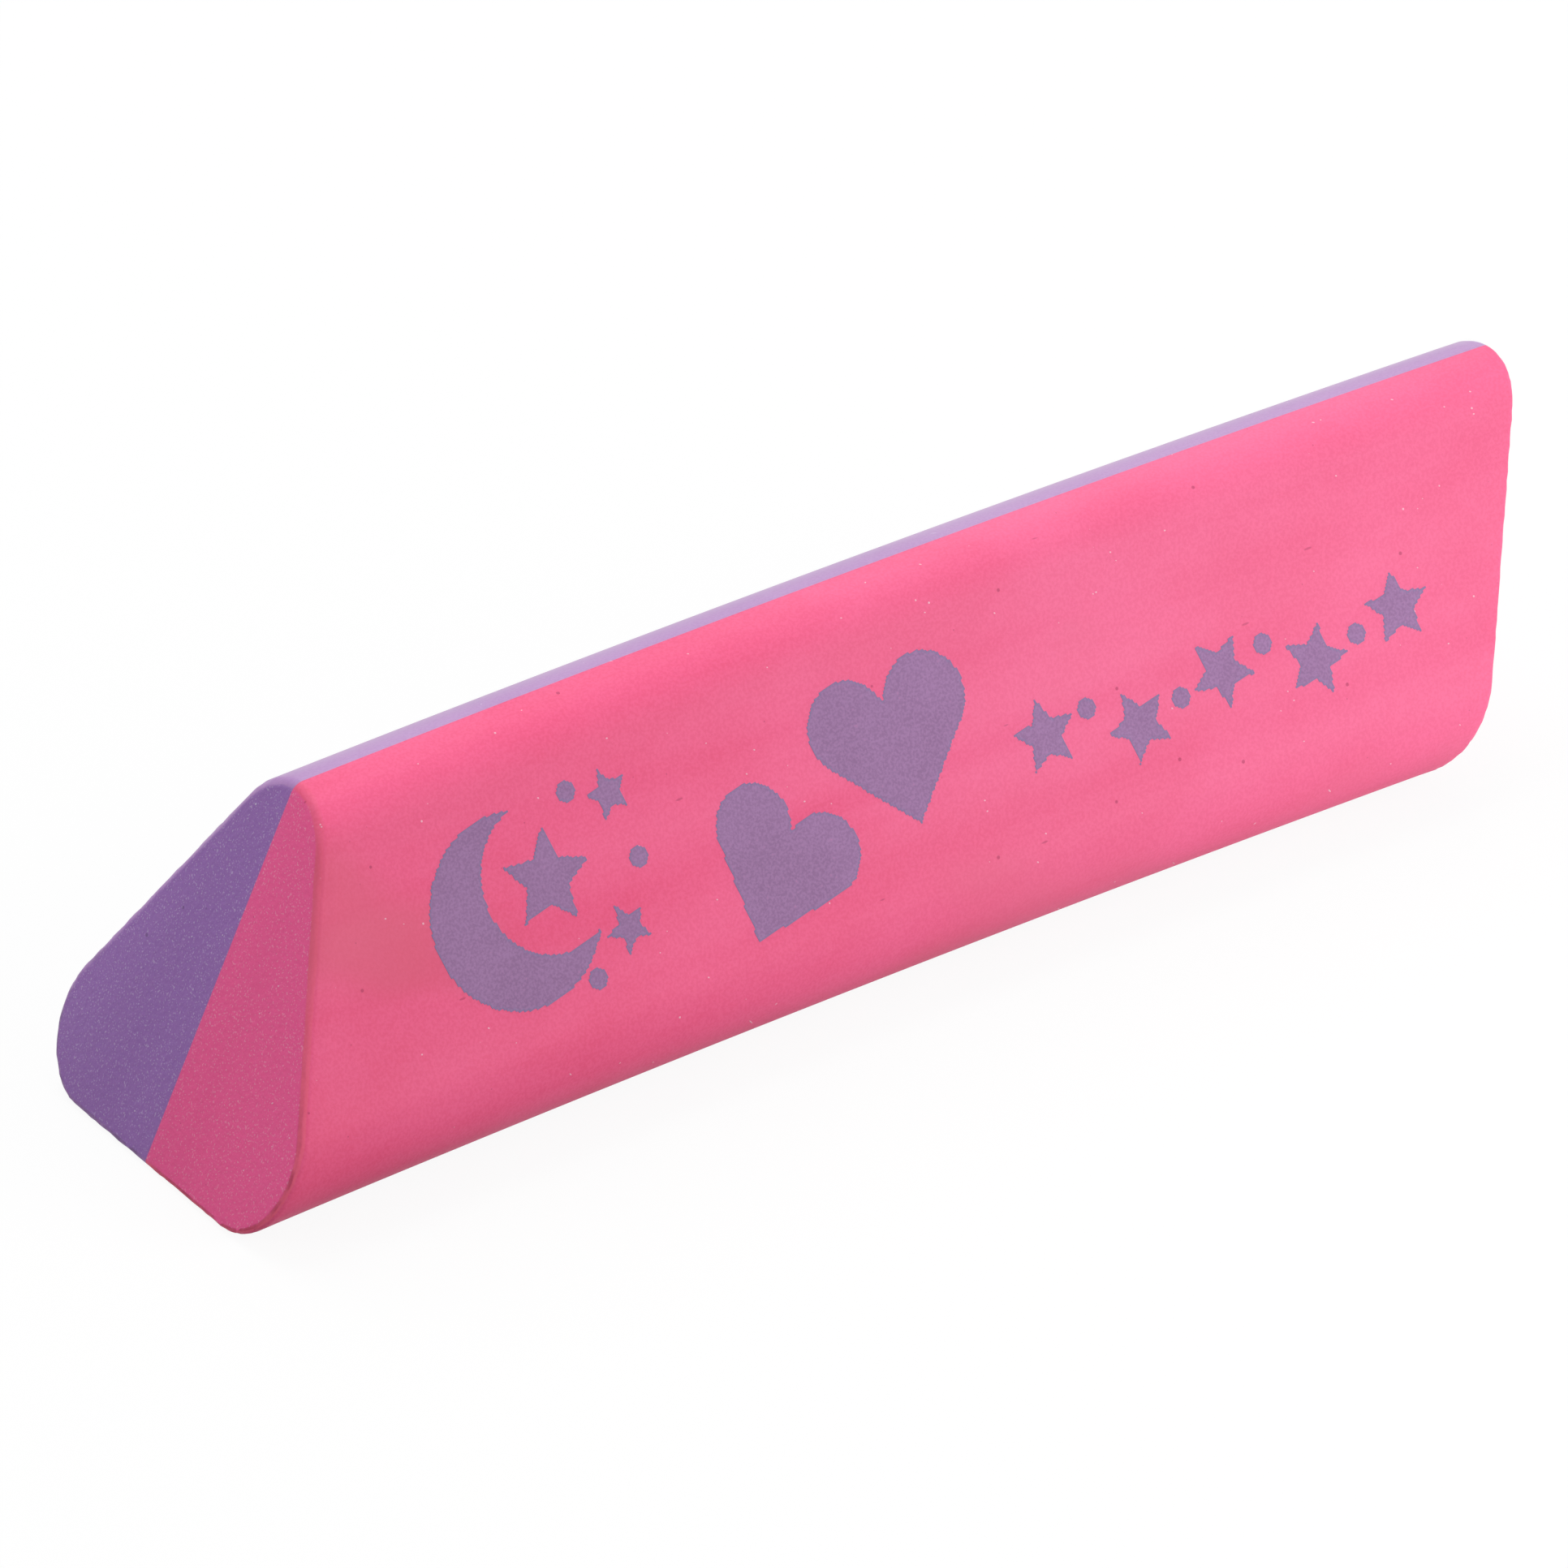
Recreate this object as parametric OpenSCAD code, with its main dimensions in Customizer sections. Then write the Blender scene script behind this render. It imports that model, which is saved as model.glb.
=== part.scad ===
// Three-sided vinyl eraser: a pink and a purple strip fused side by side, cut on a slant,
// with an ink print on the pink face. Millimetres. The bar lies along X on its plain base,
// the printed face looks towards -Y, and Z = 0 is the base.

/* [Bar] */

// Length of each long edge, between the two slanted cuts
bar_l = 70; // [40:1:110]

// Side of the triangle that the section is rounded from
side_w = 24.7; // [18:0.1:40]

// Radius of the three long edges
corner_r = 3.6; // [1:0.1:4.5]

// Lean of both end cuts, the ridge towards +X
end_slant = 27; // [0:1:40]

// How far the middle of the bar stands out sideways, towards +Y
bow = 0.6; // [0.2:0.1:3]

// Offset of the colour seam from the ridge towards the purple side
seam_offset = 0.25; // [0:0.05:1.5]

/* [Ink and hearts] */

// How deep the ink has soaked into the vinyl
ink_depth = 0.05; // [0.02:0.01:0.2]

// How far the ink stands proud of the face
ink_proud = 0.02; // [0.01:0.01:0.1]

// Width of the large heart
large_heart_w = 9; // [3:0.1:11]

// Place of the large heart along the bar, from its middle
large_heart_x = 0.2; // [-30:0.1:30]

// Place of the large heart up the face, from its centre line
large_heart_y = 1; // [-4:0.1:4]

// Turn of the large heart to the left
large_heart_turn = 1.4; // [-60:0.1:60]

// Width of the small heart
small_heart_w = 8.2; // [3:0.1:11]

// Place of the small heart along the bar
small_heart_x = -7.9; // [-30:0.1:30]

// Place of the small heart up the face
small_heart_y = -2.6; // [-4:0.1:4]

// Turn of the small heart to the right
small_heart_turn = 38; // [-60:1:60]

/* [Moon and stars] */

// Radius of the moon
moon_r = 4.7; // [2:0.1:5.5]

// Radius of the bite that makes the moon a crescent
moon_bite_r = 3.7; // [1.5:0.1:5]

// How far the bite is moved out towards the moon's open side
moon_bite_out = 2.5; // [1:0.1:4]

// Place of the moon along the bar
moon_x = -22.2; // [-30:0.1:30]

// Place of the moon up the face
moon_y = 0.2; // [-4:0.1:4]

// Turn of the moon's open side from the bar's direction
moon_turn = 24; // [-90:1:90]

// Tip radius of the star in the moon's open side
moon_star_r = 2.5; // [1:0.1:4]

// Tip radius of the two small stars beside it
small_star_r = 1.3; // [0.5:0.1:3]

// Tip radius of the stars in the row
row_star_r = 1.9; // [1:0.1:4]

// Stars in the row
row_stars = 5; // [1:1:8]

// Pitch of the stars in the row
row_pitch = 5.2; // [3:0.1:10]

// Place of the row's first star along the bar
row_x = 8.2; // [-30:0.1:30]

// Place of the row's first star up the face
row_y = -1.1; // [-4:0.1:4]

// Drop of every second star of the row
row_drop = 1.1; // [0:0.1:3]

// Radius of the dots
dot_r = 0.5; // [0.2:0.05:1.5]

/* [Hidden] */

$fn = 96;
arc_fn = 3600;

pink = "#f27aa6";
purple = "#8f70ad";
ink = "#8a6aa6";

face_tilt = 60;
half_w = side_w / 2;
tip_h = side_w * sin(face_tilt);
body_h = tip_h - corner_r;
corner_in = corner_r / tan(face_tilt / 2);
flat_half = half_w - corner_in;

// The bow is an arc about an upright axis on the printed side
bow_r = bar_l * bar_l / (8 * bow) + bow / 2;
overall_l = bar_l + body_h * tan(end_slant);
sweep_deg = 2 * asin((overall_l / 2 + side_w) / (bow_r - side_w));

// Centres of the rounded edges: printed side, back side, ridge
corner_centres = [[-flat_half, corner_r], [flat_half, corner_r], [0, tip_h - 2 * corner_r]];
out_front = [-sin(face_tilt), cos(face_tilt)];
out_back = [sin(face_tilt), cos(face_tilt)];
out_down = [0, -1];

// The flat of the printed face, from the base edge to the ridge
flat_low = corner_centres[0] + corner_r * out_front;
flat_high = corner_centres[2] + corner_r * out_front;
face_mid = (flat_low + flat_high) / 2;

module bar_section() {
    polygon([
        corner_centres[0] + corner_r * out_down,
        corner_centres[1] + corner_r * out_down,
        corner_centres[1] + corner_r * out_back,
        corner_centres[2] + corner_r * out_back,
        flat_high,
        flat_low
    ]);
    for (centre = corner_centres) translate(centre) circle(r = corner_r);
}

// One side of the colour seam: -1 the printed side, 1 the back side
module seam_side(side) {
    translate([seam_offset + side * side_w / 2, tip_h / 2])
        square([side_w, 2 * tip_h], center = true);
}

// A section swept along the bow and cut by the two slanted end planes
module bowed_bar() {
    intersection() {
        translate([0, bow / 2 - bow_r, 0])
            rotate([0, 0, 90 - sweep_deg / 2])
                rotate_extrude(angle = sweep_deg, $fn = arc_fn)
                    translate([bow_r, 0])
                        children();
        translate([0, 0, body_h / 2])
            rotate([0, end_slant, 0])
                cube([bar_l * cos(end_slant), 3 * side_w, 6 * side_w], center = true);
    }
}

// A heart of width 1: two lobes, and straight sides that run from them to the tip
heart_lobe = 0.252;
heart_drop = 0.618;
heart_lobe_x = 0.5 - heart_lobe;
heart_turn = acos(heart_lobe / norm([heart_lobe_x, heart_drop])) - atan2(heart_lobe_x, heart_drop) - 90;
heart_touch = [heart_lobe_x + heart_lobe * cos(heart_turn), heart_lobe * sin(heart_turn)];

module heart(width) {
    scale(width) translate([0, (heart_drop - heart_lobe) / 2]) {
        for (side = [-1, 1]) translate([side * heart_lobe_x, 0]) circle(r = heart_lobe);
        polygon([
            [0, -heart_drop],
            heart_touch,
            [heart_lobe_x, 0],
            [-heart_lobe_x, 0],
            [-heart_touch[0], heart_touch[1]]
        ]);
    }
}

module star(tip_r) {
    inner_r = 0.48 * tip_r;
    polygon([for (i = [0:9]) (i % 2 == 0 ? tip_r : inner_r) * [sin(36 * i), cos(36 * i)]]);
}

module moon() {
    rotate(moon_turn) difference() {
        circle(r = moon_r);
        translate([moon_bite_out, 0]) circle(r = moon_bite_r);
    }
}

// Stars and dots beside the moon, with their places in moon radii
module moon_and_stars() {
    translate([moon_x, moon_y]) {
        moon();
        translate(moon_r * [0.45, 0.19]) rotate(-12) star(moon_star_r);
        translate(moon_r * [1.4, 0.77]) rotate(10) star(small_star_r);
        translate(moon_r * [1.19, -0.57]) rotate(20) star(small_star_r);
        for (at = [[0.94, 0.94], [1.53, 0.06], [0.68, -0.94]]) translate(moon_r * at) circle(r = dot_r);
    }
}

module star_row() {
    translate([row_x, row_y]) for (i = [0:row_stars - 1]) {
        translate([i * row_pitch, -(i % 2) * row_drop]) rotate(i * 17) star(row_star_r);
        if (i < row_stars - 1)
            translate([(i + 0.5) * row_pitch, (0.5 - i % 2) * row_drop]) circle(r = dot_r);
    }
}

module motifs() {
    translate([large_heart_x, large_heart_y]) rotate(large_heart_turn) heart(large_heart_w);
    translate([small_heart_x, small_heart_y]) rotate(-small_heart_turn) heart(small_heart_w);
    moon_and_stars();
    star_row();
}

// The motifs' outlines through the flat of the printed face, from one depth to one height
module inked(depth, height) {
    reach = bow + depth + height;
    intersection() {
        bowed_bar() polygon([
            flat_low - depth * out_front,
            flat_high - depth * out_front,
            flat_high + height * out_front,
            flat_low + height * out_front
        ]);
        translate([0, face_mid[0], face_mid[1]])
            rotate([face_tilt, 0, 0])
                translate([0, 0, -reach])
                    linear_extrude(2 * reach)
                        motifs();
    }
}

module pink_half() {
    color(pink) difference() {
        bowed_bar() intersection() {
            bar_section();
            seam_side(-1);
        }
        inked(ink_depth, corner_r);
    }
}

module purple_half() {
    color(purple) bowed_bar() intersection() {
        bar_section();
        seam_side(1);
    }
}

module printed_motifs() {
    color(ink) inked(ink_depth, ink_proud);
}

pink_half();
purple_half();
printed_motifs();
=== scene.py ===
"""Three-sided vinyl eraser of two fused colours, with an ink print, in a plain studio."""

import logging
import math
from collections.abc import Callable, Iterator
from contextlib import contextmanager
from dataclasses import dataclass, field
from enum import Enum

import bmesh
import bpy
from mathutils import Matrix, Vector


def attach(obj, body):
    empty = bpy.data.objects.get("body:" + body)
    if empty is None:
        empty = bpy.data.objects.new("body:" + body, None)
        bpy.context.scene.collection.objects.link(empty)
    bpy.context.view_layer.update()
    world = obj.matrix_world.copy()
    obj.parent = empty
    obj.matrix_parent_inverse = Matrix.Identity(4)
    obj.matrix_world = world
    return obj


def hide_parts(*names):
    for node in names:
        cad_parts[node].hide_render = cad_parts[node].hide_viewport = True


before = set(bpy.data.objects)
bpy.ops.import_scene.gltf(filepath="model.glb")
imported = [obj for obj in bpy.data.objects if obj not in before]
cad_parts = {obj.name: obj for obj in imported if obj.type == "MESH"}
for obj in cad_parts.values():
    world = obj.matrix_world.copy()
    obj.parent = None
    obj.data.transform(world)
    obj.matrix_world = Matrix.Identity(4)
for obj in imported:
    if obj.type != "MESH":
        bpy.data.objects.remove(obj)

Colour = tuple[float, float, float]
Triple = tuple[float, float, float]
Point = tuple[float, float]
Socket = bpy.types.NodeSocket

MM = 0.001
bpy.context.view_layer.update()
ROOT_BODY = "root"
EDGE_LAYER = "print_edge"
SMOOTH_ANGLE = math.radians(35.0)
WHITE = (1.0, 1.0, 1.0, 1.0)
log = logging.getLogger("eraser")


class Half(Enum):
    """The two coloured strips, each with the side of the seam that it lies on."""

    PINK = -1
    PURPLE = 1

    @property
    def node(self) -> str:
        """The CAD node that stands for this strip."""
        return f"{self.name.lower()}_half"


class Shape(Enum):
    """The kinds of printed motif."""

    HEART = "heart"
    MOON = "moon"
    STAR = "star"
    DOT = "dot"


# Hand tools in edit mode


def deselect_all() -> None:
    """Deselect every object."""
    bpy.ops.object.select_all(action="DESELECT")


def activate(piece: bpy.types.Object) -> None:
    """Make one object the active one, and the only one that is selected."""
    deselect_all()
    piece.select_set(True)
    bpy.context.view_layer.objects.active = piece


@contextmanager
def editing(piece: bpy.types.Object) -> Iterator[bmesh.types.BMesh]:
    """Hold one object in edit mode.

    Args:
        piece: The object to edit.

    Yields:
        Its edit mesh, for picking vertices, edges and faces by place.
    """
    activate(piece)
    bpy.ops.object.mode_set(mode="EDIT")
    try:
        yield bmesh.from_edit_mesh(piece.data)
    finally:
        bpy.ops.object.mode_set(mode="OBJECT")


def pick(piece: bpy.types.Object, kind: str, wanted: Callable[..., bool]) -> None:
    """Select the vertices, edges or faces that pass a test, and nothing else.

    Args:
        piece: The object in edit mode.
        kind: VERT, EDGE or FACE.
        wanted: Says whether one vertex, edge or face is wanted.
    """
    bpy.ops.mesh.select_mode(type=kind)
    bpy.ops.mesh.select_all(action="DESELECT")
    mesh = bmesh.from_edit_mesh(piece.data)
    items = {"VERT": mesh.verts, "EDGE": mesh.edges, "FACE": mesh.faces}[kind]
    chosen = [item for item in items if wanted(item)]
    for item in chosen:
        item.select_set(True)
    mesh.select_flush_mode()
    bmesh.update_edit_mesh(piece.data)


def apply_place(piece: bpy.types.Object) -> None:
    """Put the object at the origin, unturned and unscaled, with its place in its mesh."""
    activate(piece)
    bpy.ops.object.transform_apply(location=True, rotation=True, scale=True)


def shade_smooth(piece: bpy.types.Object) -> None:
    """Shade the object smooth, apart from its sharp edges."""
    activate(piece)
    bpy.ops.object.shade_smooth_by_angle(angle=SMOOTH_ANGLE)


def join(pieces: list[bpy.types.Object], name: str) -> bpy.types.Object:
    """Join objects into the first of them.

    Args:
        pieces: The objects.
        name: The name of the joined object and its mesh.

    Returns:
        The joined object.
    """
    deselect_all()
    for piece in pieces:
        piece.select_set(True)
    bpy.context.view_layer.objects.active = pieces[0]
    bpy.ops.object.join()
    pieces[0].name = name
    pieces[0].data.name = name
    return pieces[0]


# Finishes


@dataclass(frozen=True)
class Spread:
    """The band of a value that is spread, from what becomes 0 to what becomes full, and its strength."""

    low: float
    high: float
    strength: float = 1.0


@dataclass(frozen=True)
class Marks:
    """One kind of small spots, in a part of the cells of a cell pattern.

    The turn and the stretch place the pattern, and the scale is its cells per metre. The size is a
    spot's radius in cells, the core is the part of it that is full, and the share is the part of
    the cells that has a spot.
    """

    turn: Triple
    size: float
    share: float
    scale: float = 1.0
    stretch: Triple = (1.0, 1.0, 1.0)
    strength: float = 1.0
    core: float = 0.6


PITS = Marks((20.0, 35.0, 10.0), size=0.055, share=0.4, scale=480.0, strength=0.5)
SCRATCHES = Marks((8.0, 6.0, 12.0), size=0.11, share=0.05, stretch=(220.0, 1600.0, 1600.0), strength=0.35)
FRECKLES = Marks((65.0, 5.0, 40.0), size=0.05, share=0.3, scale=1000.0, strength=0.3)
DUST = Marks((50.0, 15.0, 70.0), size=0.06, share=0.22, scale=900.0)
LINT = Marks((0.0, 25.0, 38.0), size=0.12, share=0.035, stretch=(300.0, 2600.0, 2600.0))
FIBRES = Marks((0.0, -50.0, -24.0), size=0.12, share=0.03, stretch=(260.0, 2600.0, 2600.0))


class NodeSheet:
    """A material's node tree with short calls for the nodes that the finishes share."""

    def __init__(self, name: str) -> None:
        """Start an empty material with one Principled shader.

        Args:
            name: The material's name.
        """
        self.material = bpy.data.materials.new(name)
        self.material.use_nodes = True
        self.tree = self.material.node_tree
        self.tree.nodes.clear()
        self.output = self.tree.nodes.new("ShaderNodeOutputMaterial")
        self.shader = self.tree.nodes.new("ShaderNodeBsdfPrincipled")
        self.link(self.shader.outputs[0], self.output.inputs["Surface"])
        self.place = self.tree.nodes.new("ShaderNodeTexCoord").outputs["Object"]

    def link(self, source: Socket, target: Socket) -> None:
        """Join two sockets."""
        self.tree.links.new(source, target)

    def mapped(self, scale: Triple, turn: Triple = (0.0, 0.0, 0.0)) -> Socket:
        """Stretch and turn the piece's own coordinates.

        Args:
            scale: How much finer the pattern is along each axis.
            turn: Turn about each axis, in degrees.

        Returns:
            The stretched coordinates.
        """
        turned = self.tree.nodes.new("ShaderNodeMapping")
        turned.inputs["Rotation"].default_value = [math.radians(angle) for angle in turn]
        self.link(self.place, turned.inputs["Vector"])
        stretched = self.tree.nodes.new("ShaderNodeMapping")
        stretched.inputs["Scale"].default_value = scale
        self.link(turned.outputs[0], stretched.inputs["Vector"])
        return stretched.outputs[0]

    def axis(self, name: str) -> Socket:
        """The piece's own coordinate along X, Y or Z, in metres."""
        parted = self.tree.nodes.new("ShaderNodeSeparateXYZ")
        self.link(self.place, parted.inputs[0])
        return parted.outputs[name]

    def noise(self, pattern: Socket, scale: float, detail: float = 3.0) -> Socket:
        """Add a cloudy pattern.

        Args:
            pattern: The coordinates.
            scale: Clouds per metre.
            detail: Octaves of finer clouds.

        Returns:
            The pattern's strength, about 0.5 on average.
        """
        node = self.tree.nodes.new("ShaderNodeTexNoise")
        node.inputs["Scale"].default_value = scale
        node.inputs["Detail"].default_value = detail
        self.link(pattern, node.inputs["Vector"])
        return node.outputs["Fac"]

    def math(self, kind: str, first: Socket | float, second: Socket | float) -> Socket:
        """Add one sum on two values.

        Args:
            kind: The Math node's operation.
            first: A socket or a number.
            second: A socket or a number.

        Returns:
            The result.
        """
        node = self.tree.nodes.new("ShaderNodeMath")
        node.operation = kind
        for socket, value in zip(node.inputs, (first, second)):
            if isinstance(value, (int, float)):
                socket.default_value = value
            else:
                self.link(value, socket)
        return node.outputs[0]

    def spread(self, value: Socket, band: Spread) -> Socket:
        """Spread a narrow band of a value smoothly, falling where its low is above its high.

        Args:
            value: The value.
            band: The band and its strength.

        Returns:
            The spread value, held between 0 and the strength.
        """
        rises = band.low < band.high
        node = self.tree.nodes.new("ShaderNodeMapRange")
        node.interpolation_type = "SMOOTHSTEP"
        node.inputs["From Min"].default_value = min(band.low, band.high)
        node.inputs["From Max"].default_value = max(band.low, band.high)
        node.inputs["To Min"].default_value = 0.0 if rises else band.strength
        node.inputs["To Max"].default_value = band.strength if rises else 0.0
        self.link(value, node.inputs["Value"])
        return node.outputs["Result"]

    def between(self, value: Socket, start: Spread, stop: Spread) -> Socket:
        """Tell where a value lies between two bands.

        Args:
            value: The value.
            start: The rising band.
            stop: The falling band.

        Returns:
            1 between the bands and 0 outside them.
        """
        return self.math("MULTIPLY", self.spread(value, start), self.spread(value, stop))

    def mix(self, share: Socket, base: Socket | Colour, other: Socket | Colour) -> Socket:
        """Blend two colours.

        Args:
            share: How much of the other colour shows.
            base: A socket or a colour.
            other: A socket or a colour.

        Returns:
            The blended colour.
        """
        node = self.tree.nodes.new("ShaderNodeMix")
        node.data_type = "RGBA"
        self.link(share, node.inputs["Factor"])
        for socket, value in ((node.inputs[6], base), (node.inputs[7], other)):
            if isinstance(value, tuple):
                socket.default_value = (*value, 1.0)
            else:
                self.link(value, socket)
        return node.outputs[2]

    def specks(self, marks: Marks) -> Socket:
        """Scatter one kind of small spots.

        Args:
            marks: The kind.

        Returns:
            The marks' strength in the spots and 0 elsewhere.
        """
        cells = self.tree.nodes.new("ShaderNodeTexVoronoi")
        cells.inputs["Scale"].default_value = marks.scale
        self.link(self.mapped(marks.stretch, marks.turn), cells.inputs["Vector"])
        parted = self.tree.nodes.new("ShaderNodeSeparateColor")
        self.link(cells.outputs["Color"], parted.inputs[0])
        disc = Spread(marks.size, marks.core * marks.size, marks.strength)
        kept = self.math("GREATER_THAN", parted.outputs[0], 1.0 - marks.share)
        return self.math("MULTIPLY", self.spread(cells.outputs["Distance"], disc), kept)

    def scattered(self, kinds: tuple[Marks, ...]) -> Socket:
        """Scatter several kinds of spots, the strongest over the others.

        Args:
            kinds: The kinds.

        Returns:
            The strength of the strongest spot at each place.
        """
        strongest = self.specks(kinds[0])
        for marks in kinds[1:]:
            strongest = self.math("MAXIMUM", strongest, self.specks(marks))
        return strongest

    def facing(self, direction: Vector) -> Socket:
        """Tell how squarely the surface faces a direction or its opposite.

        Args:
            direction: The direction, of length 1.

        Returns:
            1 where it faces the direction or away from it, and 0 where it is edge on.
        """
        surface = self.tree.nodes.new("ShaderNodeNewGeometry")
        dot = self.tree.nodes.new("ShaderNodeVectorMath")
        dot.operation = "DOT_PRODUCT"
        dot.inputs[1].default_value = direction
        self.link(surface.outputs["Normal"], dot.inputs[0])
        return self.math("ABSOLUTE", dot.outputs["Value"], 0.0)

    def bump(self, layers: list[tuple[Socket, float]]) -> None:
        """Add surface relief to the shader.

        Args:
            layers: Pairs of a height pattern and its depth in metres.
        """
        normal = None
        for height, depth in layers:
            node = self.tree.nodes.new("ShaderNodeBump")
            node.inputs["Distance"].default_value = depth
            self.link(height, node.inputs["Height"])
            if normal:
                self.link(normal, node.inputs["Normal"])
            normal = node.outputs[0]
        self.link(normal, self.shader.inputs["Normal"])


@dataclass(frozen=True)
class VinylFinish:
    """Soft plasticised vinyl: a satin matte skin with faint clouds, dust and lint, and sawn ends.

    The starts and stops of the cut, the rim and its burr are in how squarely a surface faces along
    the cuts. The painted haze of light runs along the bar, and the tint of the rims and their dark
    line, grime with painted crease shade, up it, in metres.
    """

    name: str
    colour: Colour
    deep: Colour
    cut_colour: Colour
    rim_colour: Colour
    smudge: Colour
    dust_and_glint: Colour
    grime_and_shade: Colour
    painted_haze: Colour
    painted_haze_share: float
    cut_glint_share: float
    sheen: float
    gloss: float
    sheen_roughness: float = 0.4
    roughness: float = 0.50
    cut_roughness: float = 0.25
    streak_roughness: Spread = Spread(0.3, 0.8, 0.12)
    glow_share: float = 0.06
    glow_radius: Triple = (1.0, 0.45, 0.45)
    glow_depth: float = 0.8 * MM
    cloud_scale: float = 190.0
    cloud_stretch: Triple = (0.45, 1.0, 1.0)
    cloud_turn: Triple = (0.0, 20.0, 15.0)
    cloud_shade: Spread = Spread(0.35, 0.68, 0.4)
    cloud_depth: float = 0.06 * MM
    streak_stretch: Triple = (18.0, 420.0, 420.0)
    streak_shade: Spread = Spread(0.42, 0.72, 0.18)
    grain_scale: float = 7000.0
    grain_shade: Spread = Spread(0.35, 0.65, 0.42)
    grain_depth: float = 0.007 * MM
    smudge_scale: float = 95.0
    smudge_stretch: Triple = (0.5, 1.0, 1.0)
    smudge_turn: Triple = (0.0, 0.0, 25.0)
    smudge_part: Spread = Spread(0.56, 0.74, 0.6)
    painted_haze_start: float = -20.0 * MM
    painted_haze_full: float = 15.0 * MM
    dark_marks: tuple[Marks, ...] = (PITS, SCRATCHES, FRECKLES)
    loose_marks: tuple[Marks, ...] = (DUST, LINT, FIBRES)
    loose_share: float = 0.6
    loose_depth: float = 0.01 * MM
    cut_start: Spread = Spread(0.93, 0.99)
    cut_grain: float = 0.35
    crumb_scale: float = 3600.0
    crumb_depth: float = 0.03 * MM
    glint_scale: float = 11000.0
    glint_band: Spread = Spread(0.62, 0.78)
    rim_start: Spread = Spread(0.50, 0.62)
    rim_stop: Spread = Spread(0.99, 0.93)
    rim_tint: Spread = Spread(16.0 * MM, 6.0 * MM, 0.35)
    rim_tint_least: float = 0.20
    burr_start: Spread = Spread(0.72, 0.86)
    burr_stop: Spread = Spread(0.995, 0.96)
    rim_dark_scale: float = 900.0
    rim_dark_broken: Spread = Spread(0.28, 0.66)
    rim_dark_low: Spread = Spread(10.0 * MM, 2.0 * MM, 0.55)
    rim_dark_least: float = 0.04

    def material(self, cut_out: Vector) -> bpy.types.Material:
        """Build the material.

        Args:
            cut_out: Outward direction of the +X cut, by which the sawn ends are told from the skin.

        Returns:
            The material.
        """
        sheet = NodeSheet(self.name)
        facing = sheet.facing(cut_out)
        cut = sheet.spread(facing, self.cut_start)
        clouds = sheet.noise(sheet.mapped(self.cloud_stretch, self.cloud_turn), self.cloud_scale)
        streaks = sheet.noise(sheet.mapped(self.streak_stretch), 1.0)
        grain = sheet.noise(sheet.place, self.grain_scale, detail=2.0)
        crumbs = sheet.noise(sheet.place, self.crumb_scale, detail=2.0)
        loose = sheet.scattered(self.loose_marks)
        colour = self.skin_colour(sheet, clouds, streaks, grain)
        sawn_colour = sheet.mix(sheet.math("MULTIPLY", grain, self.cut_grain), self.cut_colour, self.deep)
        colour = sheet.mix(cut, colour, sawn_colour)
        colour = sheet.mix(self.rim_warmth(sheet, facing), colour, self.rim_colour)
        colour = sheet.mix(sheet.scattered(self.dark_marks), colour, self.grime_and_shade)
        colour = sheet.mix(sheet.math("MULTIPLY", loose, self.loose_share), colour, self.dust_and_glint)
        # Painted highlight: fine glints over the sawn ends, in the pale colour of the dust.
        colour = sheet.mix(self.glints(sheet, cut), colour, self.dust_and_glint)
        # Painted shade with grime: a broken dark line in the crease of the cut rims, darkest near the base.
        colour = sheet.mix(self.rim_grime_and_shade(sheet, facing), colour, self.grime_and_shade)
        sheet.link(colour, sheet.shader.inputs["Base Color"])
        worn = sheet.spread(streaks, self.streak_roughness)
        worn = sheet.math("ADD", worn, sheet.math("MULTIPLY", cut, self.cut_roughness))
        sheet.link(sheet.math("ADD", worn, self.roughness), sheet.shader.inputs["Roughness"])
        sheet.shader.inputs["Specular IOR Level"].default_value = self.gloss
        sheet.shader.inputs["Sheen Weight"].default_value = self.sheen
        sheet.shader.inputs["Sheen Roughness"].default_value = self.sheen_roughness
        sheet.shader.inputs["Subsurface Weight"].default_value = self.glow_share
        sheet.shader.inputs["Subsurface Radius"].default_value = self.glow_radius
        sheet.shader.inputs["Subsurface Scale"].default_value = self.glow_depth
        sheet.bump([
            (clouds, self.cloud_depth),
            (grain, self.grain_depth),
            (sheet.math("MULTIPLY", crumbs, cut), self.crumb_depth),
            (loose, self.loose_depth),
        ])
        return sheet.material

    def skin_colour(self, sheet: NodeSheet, clouds: Socket, streaks: Socket, grain: Socket) -> Socket:
        """Cloud and streak the vinyl's own colour, with handling smudges and painted light paler at +X.

        Args:
            sheet: The material's node tree.
            clouds: Broad clouds.
            streaks: Streaks along the bar.
            grain: Fine grain.

        Returns:
            The colour.
        """
        shade = sheet.spread(clouds, self.cloud_shade)
        shade = sheet.math("ADD", shade, sheet.spread(streaks, self.streak_shade))
        shade = sheet.math("ADD", shade, sheet.spread(grain, self.grain_shade))
        colour = sheet.mix(shade, self.colour, self.deep)
        handled = sheet.mapped(self.smudge_stretch, self.smudge_turn)
        handled = sheet.noise(handled, self.smudge_scale, detail=2.0)
        colour = sheet.mix(sheet.spread(handled, self.smudge_part), colour, self.smudge)
        # Painted light: a paler haze that grows towards the +X end, where the lamps light the bar more.
        haze_band = Spread(self.painted_haze_start, self.painted_haze_full, self.painted_haze_share)
        return sheet.mix(sheet.spread(sheet.axis("X"), haze_band), colour, self.painted_haze)

    def rim_warmth(self, sheet: NodeSheet, facing: Socket) -> Socket:
        """Tint the softened rims of the cuts, most in the lower half.

        Args:
            sheet: The material's node tree.
            facing: How squarely the surface faces along the cuts.

        Returns:
            How much of the tint shows.
        """
        rim = sheet.between(facing, self.rim_start, self.rim_stop)
        warm = sheet.math("ADD", sheet.spread(sheet.axis("Z"), self.rim_tint), self.rim_tint_least)
        return sheet.math("MULTIPLY", rim, warm)

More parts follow.
